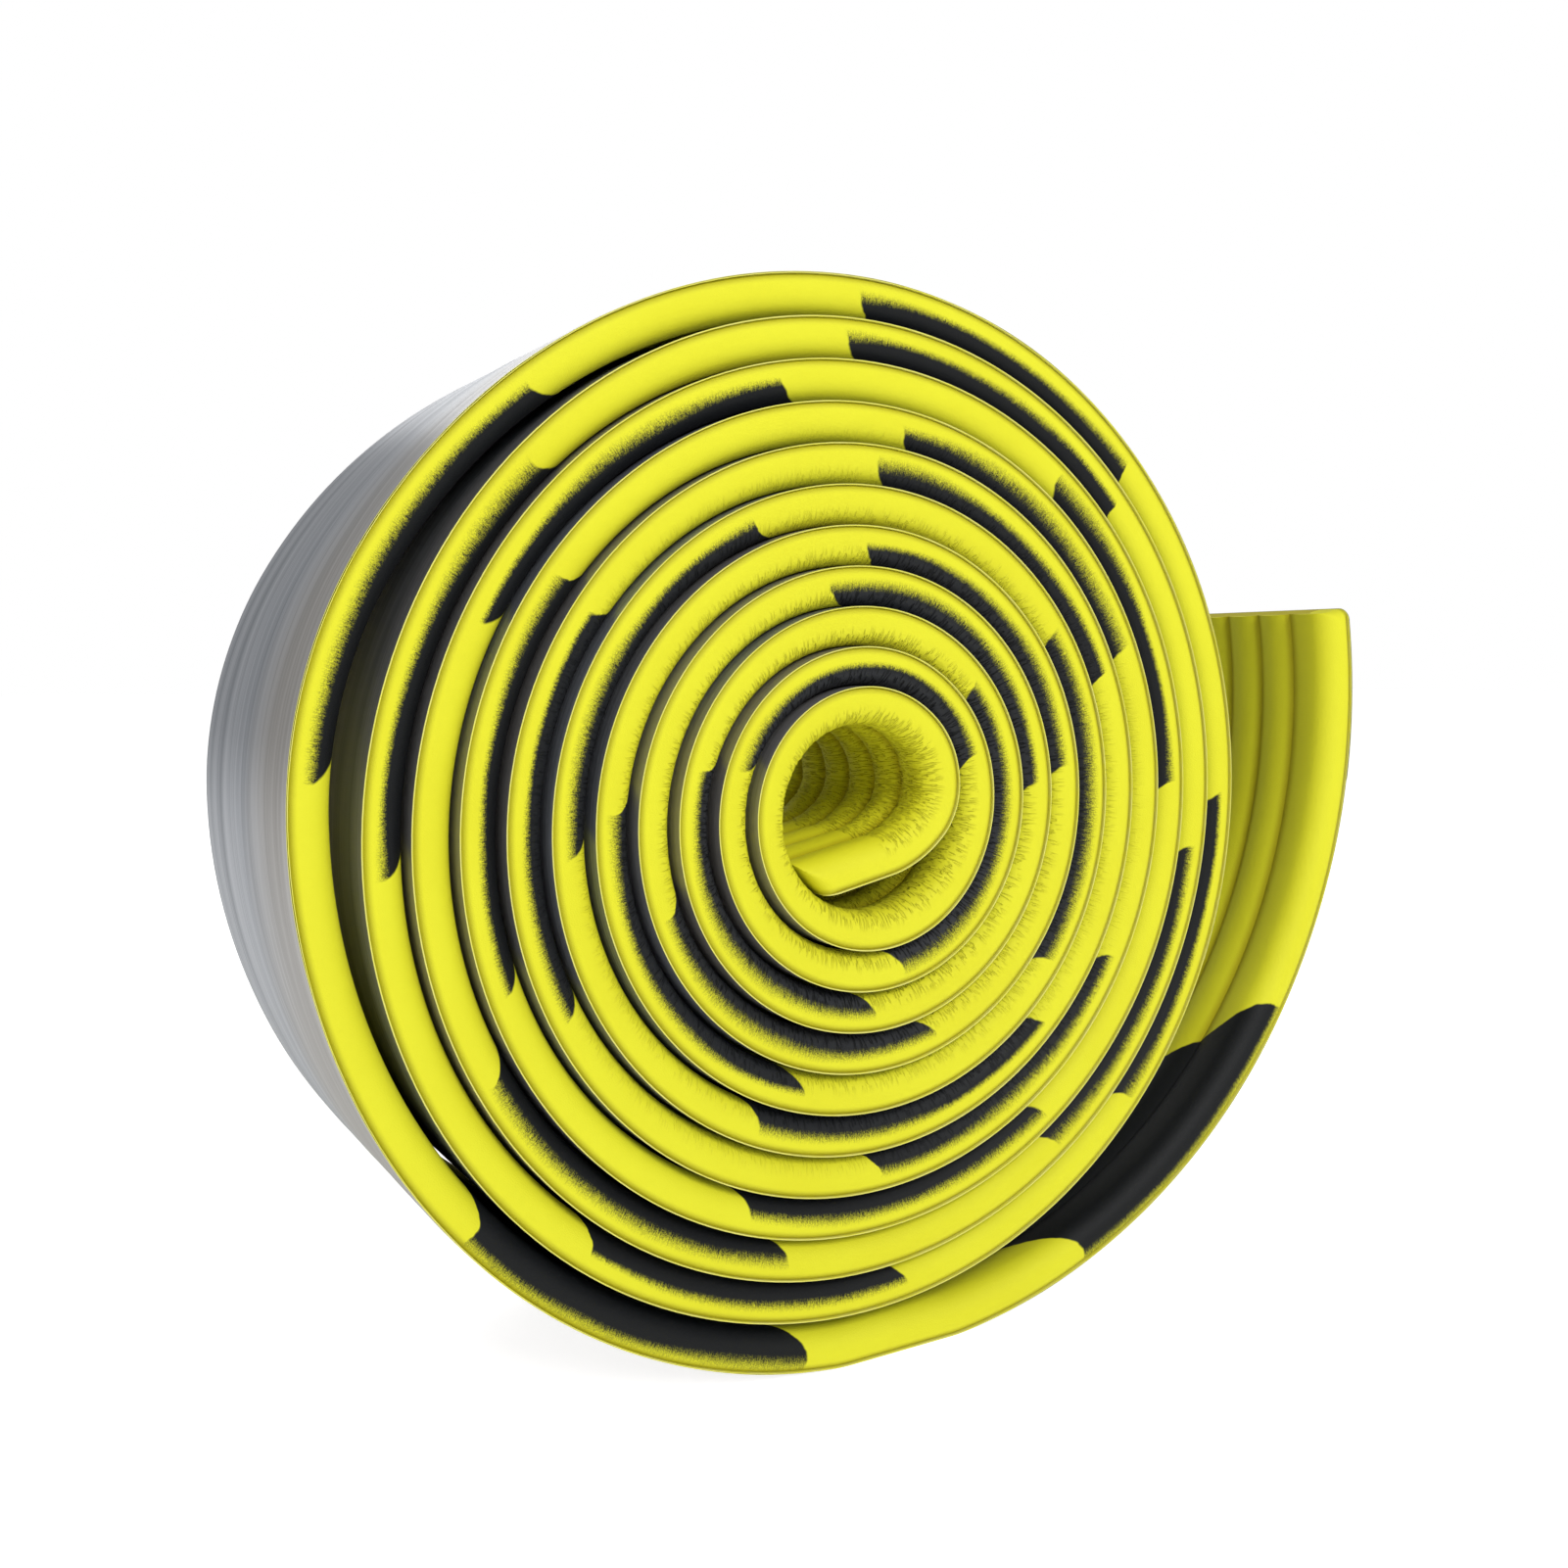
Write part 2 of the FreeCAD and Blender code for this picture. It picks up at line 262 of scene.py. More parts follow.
def path_object(name, start, end, step):
    """A chain of vertices from one angle to another; None is the strip's inner end."""
    samples = []
    if start is None:
        flat = LAP_LENGTH * 0.999
        for i in range(CORNER_SAMPLES + 1):
            samples.append(CORNER_RADIUS * (i / CORNER_SAMPLES) ** 2)
        for i in range(1, 11):
            samples.append(CORNER_RADIUS + (flat - CORNER_RADIUS) * i / 10)
        start = LAP_ANGLE
    points = []
    for along in samples:
        place = line_point(LAP_ANGLE) + tangent(LAP_ANGLE) * (along - LAP_LENGTH)
        points.append((place, along, 0.0, -direction(LAP_ANGLE)))
    angles = arc_angles(start, end, step)
    if end == LOOSE_END:
        share = math.degrees(CORNER_RADIUS / LOOSE_RADIUS)
        corner = [end - share * (i / CORNER_SAMPLES) ** 2 for i in range(1, CORNER_SAMPLES + 1)]
        angles = sorted({*angles, *corner})
    for angle in angles:
        points.append((line_point(angle), along_at(angle), 1 / run_at(angle)[2], -direction(angle)))
    mesh = bpy.data.meshes.new(name)
    mesh.from_pydata([p[0] for p in points], [(i, i + 1) for i in range(len(points) - 1)], [])
    for label, kind, column in (("along", "FLOAT", 1), ("bend", "FLOAT", 2), ("inward", "FLOAT_VECTOR", 3)):
        attribute = mesh.attributes.new(label, kind, "POINT")
        for item, point in zip(attribute.data, points):
            if kind == "FLOAT":
                item.value = point[column]
            else:
                item.vector = point[column]
    piece = bpy.data.objects.new(name, mesh)
    bpy.context.scene.collection.objects.link(piece)
    return piece


# %% [markdown]
# ## Sections
# The foam's section has a plain back with slightly rounded corners, sides that run into a large
# round edge, a shoulder that falls to the first groove and five shallow round ribs. Arcs through
# two points with a known radius draw all of it. The thin layers are flat strips. X lies across
# the strip and Y goes from its back towards the roll's middle.

# %% Draw the sections
BACK_INSET = 0.8 * MM
BACK_RISE = 1.8 * MM
BACK_RADIUS = 2.2 * MM


def arc_points(a, b, radius, count):
    """Points from a to b on an arc that bulges to the right of the way from a to b."""
    chord = b - a
    middle = (a + b) / 2
    normal = Vector((chord.y, -chord.x, 0)).normalized()
    drop = math.sqrt(max(radius**2 - chord.length_squared / 4, 0))
    centre = middle - normal * drop
    first = math.atan2(a.y - centre.y, a.x - centre.x)
    last = math.atan2(b.y - centre.y, b.x - centre.x)
    if last < first:
        last += 2 * math.pi
    turns = [first + (last - first) * i / count for i in range(count)]
    return [centre + Vector((math.cos(t), math.sin(t), 0)) * radius for t in turns]


def foam_outline():
    half = STRIP_WIDTH / 2
    valley = FOAM_THICKNESS - GROOVE_DEPTH
    rib = (STRIP_WIDTH - 2 * EDGE_RIB_WIDTH) / MIDDLE_RIBS
    shoulder = EDGE_RIB_WIDTH - EDGE_RADIUS
    shoulder_radius = (shoulder**2 + GROOVE_DEPTH**2) / (2 * GROOVE_DEPTH)
    rib_radius = ((rib / 2) ** 2 + GROOVE_DEPTH**2) / (2 * GROOVE_DEPTH)
    corners = [
        (half - BACK_INSET, 0, BACK_RADIUS, 5),
        (half, BACK_RISE, None, 1),
        (half, FOAM_THICKNESS - EDGE_RADIUS, EDGE_RADIUS, 10),
        (half - EDGE_RADIUS, FOAM_THICKNESS, shoulder_radius, 6),
    ]
    for number in range(MIDDLE_RIBS):
        corners.append((half - EDGE_RIB_WIDTH - number * rib, valley, rib_radius, 6))
    corners.append((EDGE_RIB_WIDTH - half, valley, shoulder_radius, 6))
    corners.append((EDGE_RADIUS - half, FOAM_THICKNESS, EDGE_RADIUS, 10))
    corners.append((-half, FOAM_THICKNESS - EDGE_RADIUS, None, 1))
    corners.append((-half, BACK_RISE, BACK_RADIUS, 5))
    corners.append((BACK_INSET - half, 0, None, 1))
    points = []
    for i, (x, y, radius, count) in enumerate(corners):
        here = Vector((x, y, 0))
        following = Vector((*corners[(i + 1) % len(corners)][:2], 0))
        points += [here] if radius is None else arc_points(here, following, radius, count)
    return points


def layer_outline(near, far, columns):
    """A thin layer between two depths below the foam's back, in so many columns."""
    xs = [STRIP_WIDTH * (i / columns - 0.5) for i in range(columns + 1)]
    return [Vector((x, -far, 0)) for x in xs] + [Vector((x, -near, 0)) for x in reversed(xs)]


def section_object(name, outline):
    mesh = bpy.data.meshes.new(name)
    count = len(outline)
    mesh.from_pydata(outline, [(i, (i + 1) % count) for i in range(count)], [])
    return bpy.data.objects.new(name, mesh)


FOAM_SECTION = section_object("foam_section", foam_outline())
ADHESIVE_SECTION = section_object("adhesive_section", layer_outline(0, ADHESIVE_THICKNESS, 1))
FILM_SECTION = section_object("film_section", layer_outline(ADHESIVE_THICKNESS, SKIN, 1))
COVER_SECTION = section_object("cover_section", layer_outline(ADHESIVE_THICKNESS, SKIN, 28))
PEEL_DEPTHS = (ADHESIVE_THICKNESS + PEEL_CLEARANCE, SKIN + PEEL_CLEARANCE)
PEEL_SECTION = section_object("peel_section", layer_outline(*PEEL_DEPTHS, 28))
print("points in the foam's section", len(FOAM_SECTION.data.vertices))

# %% [markdown]
# ## A small way to write node trees
# Both Geometry Nodes and materials are trees of nodes. One helper makes a node, sets its options
# and fills its inputs: a value is typed into the input, and another node's output is linked.


# %% Node helpers
def add(tree, kind, inputs=None, **options):
    node = tree.nodes.new(kind)
    for name, value in options.items():
        setattr(node, name, value)
    for key, value in (inputs or {}).items():
        socket = node.inputs[key]
        if isinstance(value, bpy.types.NodeSocket):
            tree.links.new(value, socket)
        else:
            socket.default_value = value
    return node


def calculate(tree, operation, *terms):
    """The output of a math node, with its terms in order."""
    kind = "ShaderNodeMath"
    return add(tree, kind, dict(enumerate(terms)), operation=operation).outputs[0]


def ramp(tree, value, low, high, start=0.0, end=1.0):
    """A smooth rise from start to end while the value goes from low to high."""
    inputs = {"Value": value, "From Min": low, "From Max": high, "To Min": start, "To Max": end}
    return add(tree, "ShaderNodeMapRange", inputs, interpolation_type="SMOOTHSTEP").outputs[0]


# %% [markdown]
# ## The sweep tree
# One Geometry Nodes tree makes every layer of the strip. The path becomes a curve whose normal is
# fixed along Y, so the section never twists. The section is swept along it with closed ends. Then
# four small moves shape the surface: the strip's cut ends get rounded corners, its inner end leans
# back, the foam's bent inner face sinks into short cross creases, and the thin film stands off a
# little in long ripples, which fade out at the ground. Seeds are inputs, so each run gives the
# same creases.

# %% Build the sweep tree
SLANT_REACH = 12 * MM
CREASE_WIDTH = 6 * MM
CREASE_DEPTHS = (3.5 * MM, 7 * MM)
SHARP_BENDS = (14.0, 44.0)  # one over the bend's radius in metres
RIPPLE_LENGTH = 60 * MM
RIPPLE_WIDTH = 6 * MM
RIPPLES_RISE = (0.5 * MM, 5 * MM)  # heights above the ground between which the ripples grow
SWEEP = bpy.data.node_groups.new("strip_sweep", "GeometryNodeTree")
SWEEP_INPUTS = [
    ("Path", "NodeSocketGeometry", None),
    ("Section", "NodeSocketObject", None),
    ("Half Width", "NodeSocketFloat", STRIP_WIDTH / 2),
    ("Strip Length", "NodeSocketFloat", STRIP_LENGTH),
    ("Corner Radius", "NodeSocketFloat", CORNER_RADIUS),
    ("End Slant", "NodeSocketFloat", 0.0),
    ("Crease Depth", "NodeSocketFloat", 0.0),
    ("Crease Spacing", "NodeSocketFloat", 1.3 * MM),
    ("Ripple Height", "NodeSocketFloat", 0.0),
    ("Seed", "NodeSocketFloat", 3.0),
    ("Finish", "NodeSocketMaterial", None),
]
for name, kind, default in SWEEP_INPUTS:
    socket = SWEEP.interface.new_socket(name=name, in_out="INPUT", socket_type=kind)
    if default is not None:
        socket.default_value = default
SWEEP.interface.new_socket(name="Strip", in_out="OUTPUT", socket_type="NodeSocketGeometry")


def build_sweep(tree):
    given = add(tree, "NodeGroupInput").outputs
    path = add(tree, "GeometryNodeMeshToCurve", {"Mesh": given["Path"]}).outputs[0]
    path = add(tree, "GeometryNodeSetCurveNormal", {"Curve": path, "Normal": (0, 1, 0)}, mode="FREE")
    section = add(tree, "GeometryNodeObjectInfo", {"Object": given["Section"]}).outputs["Geometry"]
    section = add(tree, "GeometryNodeMeshToCurve", {"Mesh": section}).outputs[0]
    place = add(tree, "GeometryNodeInputPosition").outputs[0]
    xyz = add(tree, "ShaderNodeSeparateXYZ", {0: place}).outputs
    for label, value in (("across", xyz[0]), ("depth", xyz[1])):
        inputs = {"Geometry": section, "Name": label, "Value": value}
        section = add(tree, "GeometryNodeStoreNamedAttribute", inputs, data_type="FLOAT").outputs[0]
    inputs = {"Curve": path.outputs[0], "Profile Curve": section, "Fill Caps": True}
    strip = add(tree, "GeometryNodeCurveToMesh", inputs).outputs[0]

    def read(label, kind="FLOAT"):
        node = add(tree, "GeometryNodeInputNamedAttribute", {"Name": label}, data_type=kind)
        return node.outputs["Attribute"]

    along = read("along")
    across = read("across")
    depth = read("depth")
    inward = read("inward", "FLOAT_VECTOR")

    # rounded corners: near an end the strip narrows as a quarter circle does
    radius = given["Corner Radius"]
    to_end = calculate(tree, "SUBTRACT", given["Strip Length"], along)
    to_end = calculate(tree, "MINIMUM", to_end, along)
    to_end = calculate(tree, "MINIMUM", to_end, radius)
    leg = calculate(tree, "SUBTRACT", radius, to_end)
    radius_squared = calculate(tree, "POWER", radius, 2.0)
    reach = calculate(tree, "SUBTRACT", radius_squared, calculate(tree, "POWER", leg, 2.0))
    reach = calculate(tree, "SQRT", calculate(tree, "MAXIMUM", reach, 0.0))
    limit = calculate(tree, "ADD", calculate(tree, "SUBTRACT", given["Half Width"], radius), reach)
    narrow = calculate(tree, "MINIMUM", across, limit)
    narrow = calculate(tree, "MAXIMUM", narrow, calculate(tree, "MULTIPLY", limit, -1.0))
    sideways = calculate(tree, "SUBTRACT", narrow, across)
    offset = add(tree, "ShaderNodeCombineXYZ", {1: sideways}).outputs[0]
    strip = add(tree, "GeometryNodeSetPosition", {"Geometry": strip, "Offset": offset}).outputs[0]

    # slant: the inner end leans back over its depth, where it is pressed against the first turn
    near_end = ramp(tree, along, 0.0, SLANT_REACH, 1.0, 0.0)
    lean_back = calculate(tree, "MULTIPLY", calculate(tree, "DIVIDE", depth, FOAM_THICKNESS), near_end)
    lean_back = calculate(tree, "MULTIPLY", lean_back, given["End Slant"])
    inputs = {0: -tangent(LAP_ANGLE), "Scale": lean_back}
    offset = add(tree, "ShaderNodeVectorMath", inputs, operation="SCALE").outputs[0]
    strip = add(tree, "GeometryNodeSetPosition", {"Geometry": strip, "Offset": offset}).outputs[0]

    # creases: short furrows across the ribs, deeper where the bend is sharper
    grain = add(tree, "ShaderNodeCombineXYZ", {
        0: calculate(tree, "DIVIDE", along, given["Crease Spacing"]),
        1: calculate(tree, "DIVIDE", across, CREASE_WIDTH),
        2: given["Seed"],
    }).outputs[0]
    noise = add(tree, "ShaderNodeTexNoise", {"Vector": grain, "Scale": 1.0, "Detail": 2.0}).outputs[0]
    furrow = ramp(tree, noise, 0.42, 0.68)
    sharp = ramp(tree, read("bend"), *SHARP_BENDS)
    inner_side = ramp(tree, depth, *CREASE_DEPTHS)
    sink = calculate(tree, "MULTIPLY", calculate(tree, "MULTIPLY", furrow, sharp), inner_side)
    sink = calculate(tree, "MULTIPLY", sink, given["Crease Depth"])

    # ripples: the film stands off a little in bands that run along the strip
    waves = add(tree, "ShaderNodeCombineXYZ", {
        0: calculate(tree, "DIVIDE", along, RIPPLE_LENGTH),
        1: calculate(tree, "DIVIDE", across, RIPPLE_WIDTH),
        2: given["Seed"],
    }).outputs[0]
    swell = add(tree, "ShaderNodeTexNoise", {"Vector": waves, "Scale": 1.0, "Detail": 1.0}).outputs[0]
    lift = calculate(tree, "MULTIPLY", ramp(tree, swell, 0.35, 0.7), given["Ripple Height"])
    place = add(tree, "GeometryNodeInputPosition").outputs[0]
    above_ground = add(tree, "ShaderNodeSeparateXYZ", {0: place}).outputs[2]
    lift = calculate(tree, "MULTIPLY", lift, ramp(tree, above_ground, *RIPPLES_RISE))
    away = calculate(tree, "MULTIPLY", calculate(tree, "ADD", sink, lift), -1.0)
    offset = add(tree, "ShaderNodeVectorMath", {0: inward, "Scale": away}, operation="SCALE").outputs[0]
    strip = add(tree, "GeometryNodeSetPosition", {"Geometry": strip, "Offset": offset}).outputs[0]

    strip = add(tree, "GeometryNodeSetShadeSmooth", {"Geometry": strip}).outputs[0]
    strip = add(tree, "GeometryNodeRealizeInstances", {"Geometry": strip}).outputs[0]
    strip = add(tree, "GeometryNodeSetMaterial", {"Geometry": strip, "Material": given["Finish"]}).outputs[0]
    add(tree, "NodeGroupOutput", {"Strip": strip})


build_sweep(SWEEP)
print("nodes in the sweep tree", len(SWEEP.nodes))

# %% [markdown]
# ## The foam's finish
# Lemon-yellow closed-cell foam with a fine satin skin. Slanted charcoal bands are sprayed on the
# ribbed face through a mask: their ends are crisp, but towards the strip's edge the spray thins
# out into grain. The band pattern reads the strip's own attributes, so it follows the winding.
# Where the strip is bent sharply, the skin is gathered into fine cross wrinkles. They are too
# small for geometry, so they are bump, with painted shade in their folds and, on the charcoal,
# a painted highlight on their ridges.

# %% Foam material
BAND_PERIOD = 171.07 * MM
BAND_LENGTH = 85.4 * MM
BAND_START = 227.8 * MM
BAND_SECOND = 164.6 * MM
BAND_SLANT = 1.25
BAND_SLIPS = (  # from, to, and how much earlier the bands lie after it
    (3900 * MM, 4400 * MM, 12 * MM),
    (4400 * MM, 4900 * MM, -8 * MM),
)
BAND_WOBBLE = 2.0 * MM
BAND_SOFTNESS = 0.35 * MM
FIRST_PRINTED = 180 * MM
LAST_PRINTED = 4969 * MM

SPRAY_DEPTH = 3.7 * MM
SPRAY_DRIFT = 2.6 * MM
SPRAY_FADES = (0.8 * MM, 2.2 * MM)
OUTER_SPRAY = (4600 * MM, 4660 * MM)  # along this stretch the spray comes to reach the edge
OUTER_SPRAY_DEPTH = 2.2 * MM
GRAIN_STRENGTH = 2.6
HATCH_GRAIN = (0.28 * MM, 1.6 * MM, 1.6 * MM)
SPECK_GRAIN = (0.25 * MM, 0.25 * MM, 0.25 * MM)

WRINKLE_GRAIN = (0.42 * MM, 2.4 * MM, 2.4 * MM)
WRINKLED_BENDS = (6.0, 24.0)
WRINKLED_DEPTHS = (3.2 * MM, 6.6 * MM)
LAST_WRINKLED = 2500 * MM
WRINKLE_FADE = 100 * MM
WRINKLE_SHADE = 0.22
# share of the painted highlight on the wrinkles' ridges
WRINKLE_HIGHLIGHT = 0.25
PORE_GRAIN = (0.3 * MM, 0.3 * MM, 0.3 * MM)
SKIN_RELIEF = 0.35 * MM

YELLOW = (0.72, 0.71, 0.024, 1)
DEEP_YELLOW = (0.6, 0.54, 0.004, 1)
# painted shade for the bottoms of the grooves and the wrinkles' folds
PAINTED_SHADE_YELLOW = (0.4, 0.33, 0.003, 1)
# painted shade along the sides' back edge, next to the film
BACK_EDGE_SHADE_OLIVE = (0.33, 0.29, 0.01, 1)
CHARCOAL = (0.005, 0.006, 0.007, 1)
# painted highlight for the wrinkles' ridges on the charcoal
RIDGE_HIGHLIGHT_GREY = (0.085, 0.09, 0.1, 1)


def new_material(name):
    material = bpy.data.materials.new(name)
    material.use_nodes = True
    material.node_tree.nodes.clear()
    return material


def read_attribute(tree, name):
    return add(tree, "ShaderNodeAttribute", attribute_name=name).outputs["Fac"]


def strip_noise(tree, lengths, detail=2.0, roughness=0.5):
    """Noise in the strip's own space; lengths are its grain along, across and through the strip."""
    along = calculate(tree, "DIVIDE", read_attribute(tree, "along"), lengths[0])
    across = calculate(tree, "DIVIDE", read_attribute(tree, "across"), lengths[1])
    depth = calculate(tree, "DIVIDE", read_attribute(tree, "depth"), lengths[2])
    place = add(tree, "ShaderNodeCombineXYZ", {0: along, 1: across, 2: depth}).outputs[0]
    inputs = {"Vector": place, "Scale": 1.0, "Detail": detail, "Roughness": roughness}
    return add(tree, "ShaderNodeTexNoise", inputs).outputs[0]


def mix_colour(tree, share, a, b):
    node = add(tree, "ShaderNodeMix", data_type="RGBA")
    for socket, value in ((node.inputs[0], share), (node.inputs[6], a), (node.inputs[7], b)):
        if isinstance(value, bpy.types.NodeSocket):
            tree.links.new(value, socket)
        else:
            socket.default_value = value
    return node.outputs[2]


def band_mask(tree):
    """One where the spray mask is open: two bands in every two periods."""
    along = read_attribute(tree, "along")
    across = read_attribute(tree, "across")
    from_edge = calculate(tree, "ADD", across, STRIP_WIDTH / 2)
    slanted = calculate(tree, "MULTIPLY_ADD", from_edge, BAND_SLANT, along)
    wobble = strip_noise(tree, (9 * MM, 5 * MM, 3 * MM))
    wobble = calculate(tree, "SUBTRACT", wobble, 0.5)
    slanted = calculate(tree, "MULTIPLY_ADD", wobble, BAND_WOBBLE, slanted)
    for start, end, slip in BAND_SLIPS:
        slanted = calculate(tree, "ADD", slanted, ramp(tree, along, start, end, 0.0, slip))
    cell = calculate(tree, "SUBTRACT", slanted, BAND_START)
    cell = calculate(tree, "FLOORED_MODULO", cell, 2 * BAND_PERIOD)
    mask = None
    for start in (0.0, BAND_SECOND):
        end = start + BAND_LENGTH
        rise = ramp(tree, cell, start - BAND_SOFTNESS, start + BAND_SOFTNESS)
        fall = ramp(tree, cell, end - BAND_SOFTNESS, end + BAND_SOFTNESS, 1.0, 0.0)
        band = calculate(tree, "MULTIPLY", rise, fall)
        mask = band if mask is None else calculate(tree, "ADD", mask, band)
    for operation, limit in (("GREATER_THAN", FIRST_PRINTED), ("LESS_THAN", LAST_PRINTED)):
        mask = calculate(tree, "MULTIPLY", mask, calculate(tree, operation, slanted, limit))
    return mask


def spray_cover(tree):
    """How much paint reaches a place: full on the ribbed face, grainy and thin on the sides."""
    drift = strip_noise(tree, (70 * MM, 500 * MM, 500 * MM))
    width = strip_noise(tree, (110 * MM, 400 * MM, 700 * MM))
    depth = read_attribute(tree, "depth")
    depth = calculate(tree, "MULTIPLY_ADD", calculate(tree, "SUBTRACT", drift, 0.5), SPRAY_DRIFT, depth)
    outer = ramp(tree, read_attribute(tree, "along"), *OUTER_SPRAY, 0.0, OUTER_SPRAY_DEPTH)
    depth = calculate(tree, "ADD", depth, outer)
    fade = ramp(tree, width, 0.35, 0.65, *SPRAY_FADES)
    start = calculate(tree, "SUBTRACT", SPRAY_DEPTH, fade)
    cover = ramp(tree, depth, start, calculate(tree, "ADD", SPRAY_DEPTH, fade))
    hatch = strip_noise(tree, HATCH_GRAIN, 2.0, 0.6)
    specks = strip_noise(tree, SPECK_GRAIN, 1.0)
    grain = calculate(tree, "ADD", hatch, specks)
    grain = calculate(tree, "MULTIPLY", calculate(tree, "SUBTRACT", grain, 1.0), GRAIN_STRENGTH)
    open_share = calculate(tree, "MULTIPLY", cover, calculate(tree, "SUBTRACT", 1.0, cover))
    cover = calculate(tree, "MULTIPLY_ADD", grain, calculate(tree, "SQRT", open_share), cover)
    return add(tree, "ShaderNodeClamp", {0: cover}).outputs[0]


def foam_material():
    material = new_material("foam_skin")
    tree = material.node_tree
    depth = read_attribute(tree, "depth")
    bend = read_attribute(tree, "bend")
    paint = calculate(tree, "MULTIPLY", band_mask(tree), spray_cover(tree))
    cloudy = strip_noise(tree, (35 * MM, 25 * MM, 20 * MM))
    yellow = mix_colour(tree, ramp(tree, cloudy, 0.3, 0.8, 0.0, 0.2), YELLOW, DEEP_YELLOW)
    # painted shade: the sides darken towards olive at their back edge, next to the film
    yellow = mix_colour(tree, ramp(tree, depth, 0.1 * MM, 1.7 * MM, 0.7, 0.0), yellow, BACK_EDGE_SHADE_OLIVE)
    across = calculate(tree, "ABSOLUTE", read_attribute(tree, "across"))
    on_face = calculate(tree, "LESS_THAN", across, STRIP_WIDTH / 2 - EDGE_RADIUS)
    valley = FOAM_THICKNESS - GROOVE_DEPTH
    # painted shade: the bottoms of the grooves on the ribbed face are darkened
    groove_shade = ramp(tree, depth, valley, FOAM_THICKNESS - 0.3 * GROOVE_DEPTH, 0.75, 0.0)
    yellow = mix_colour(tree, calculate(tree, "MULTIPLY", groove_shade, on_face), yellow, PAINTED_SHADE_YELLOW)

    # wrinkles: fine cross folds where the strip is bent sharply, strongest on its inner side
    folds = strip_noise(tree, WRINKLE_GRAIN, 0.0, 0.5)
    folds = ramp(tree, folds, 0.3, 0.46)
    gathered = ramp(tree, bend, *WRINKLED_BENDS)
    gathered = calculate(tree, "MULTIPLY", gathered, ramp(tree, depth, *WRINKLED_DEPTHS))
    along = read_attribute(tree, "along")
    wound_in = ramp(tree, along, LAST_WRINKLED, LAST_WRINKLED + WRINKLE_FADE, 1.0, 0.0)
    gathered = calculate(tree, "MULTIPLY", gathered, wound_in)
    # painted shade: the wrinkles' folds are darkened towards the shade yellow
    shade = calculate(tree, "MULTIPLY", calculate(tree, "SUBTRACT", 1.0, folds), gathered)
    yellow = mix_colour(tree, calculate(tree, "MULTIPLY", shade, WRINKLE_SHADE), yellow, PAINTED_SHADE_YELLOW)
    ridges = calculate(tree, "MULTIPLY", folds, gathered)
    # painted highlight: the wrinkles' ridges on the charcoal are lightened to grey
    ridge_highlight = calculate(tree, "MULTIPLY", ridges, WRINKLE_HIGHLIGHT)
    colour = mix_colour(tree, paint, yellow, mix_colour(tree, ridge_highlight, CHARCOAL, RIDGE_HIGHLIGHT_GREY))

    pores = strip_noise(tree, PORE_GRAIN, 3.0, 0.6)
    relief = calculate(tree, "MULTIPLY", ridges, 1.1)
    relief = calculate(tree, "MULTIPLY_ADD", pores, 0.22, relief)
    inputs = {"Height": relief, "Strength": 1.0, "Distance": SKIN_RELIEF}
    bump = add(tree, "ShaderNodeBump", inputs).outputs[0]
    roughness = ramp(tree, paint, 0.0, 1.0, 0.6, 0.56)
    shader = add(tree, "ShaderNodeBsdfPrincipled", {
        "Base Color": colour,
        "Roughness": roughness,
        "Normal": bump,
    })
    shader.inputs["Specular IOR Level"].default_value = 0.22
    add(tree, "ShaderNodeOutputMaterial", {"Surface": shader.outputs[0]})
    return material


FOAM_SKIN = foam_material()
print("nodes in the foam's finish", len(FOAM_SKIN.node_tree.nodes))

# %% [markdown]
# ## The adhesive's and the film's finishes
# The adhesive is a thin pale yellow layer, seen as a line at the edge and as a glossy back where
# the film peels off. The release film is grey plastic, drawn lengthwise when it was made,
# so its tone and its gloss change in fine streaks along the strip. Large warm patches on it,
# scattered at random, are a painted reflection.

# %% Adhesive and film materials
ADHESIVE_DEEP = (0.72, 0.7, 0.08, 1)
ADHESIVE_PALE = (0.7, 0.68, 0.16, 1)
FILM_DARK = (0.215, 0.235, 0.27, 1)
FILM_LIGHT = (0.39, 0.415, 0.46, 1)
# painted warm reflection on the film
FILM_WARM_REFLECTION = (0.39, 0.35, 0.295, 1)


def adhesive_material():
    material = new_material("adhesive_coat")
    tree = material.node_tree
    patches = strip_noise(tree, (6 * MM, 3 * MM, 3 * MM), 3.0)
    colour = mix_colour(tree, ramp(tree, patches, 0.35, 0.65), ADHESIVE_DEEP, ADHESIVE_PALE)
    relief = strip_noise(tree, (1.2 * MM, 1.2 * MM, 1.2 * MM))
    bump = add(tree, "ShaderNodeBump", {"Height": relief, "Strength": 0.3, "Distance": 0.05 * MM}).outputs[0]
    shader = add(tree, "ShaderNodeBsdfPrincipled", {"Base Color": colour, "Normal": bump})
    shader.inputs["Roughness"].default_value = 0.25
    add(tree, "ShaderNodeOutputMaterial", {"Surface": shader.outputs[0]})
    return material


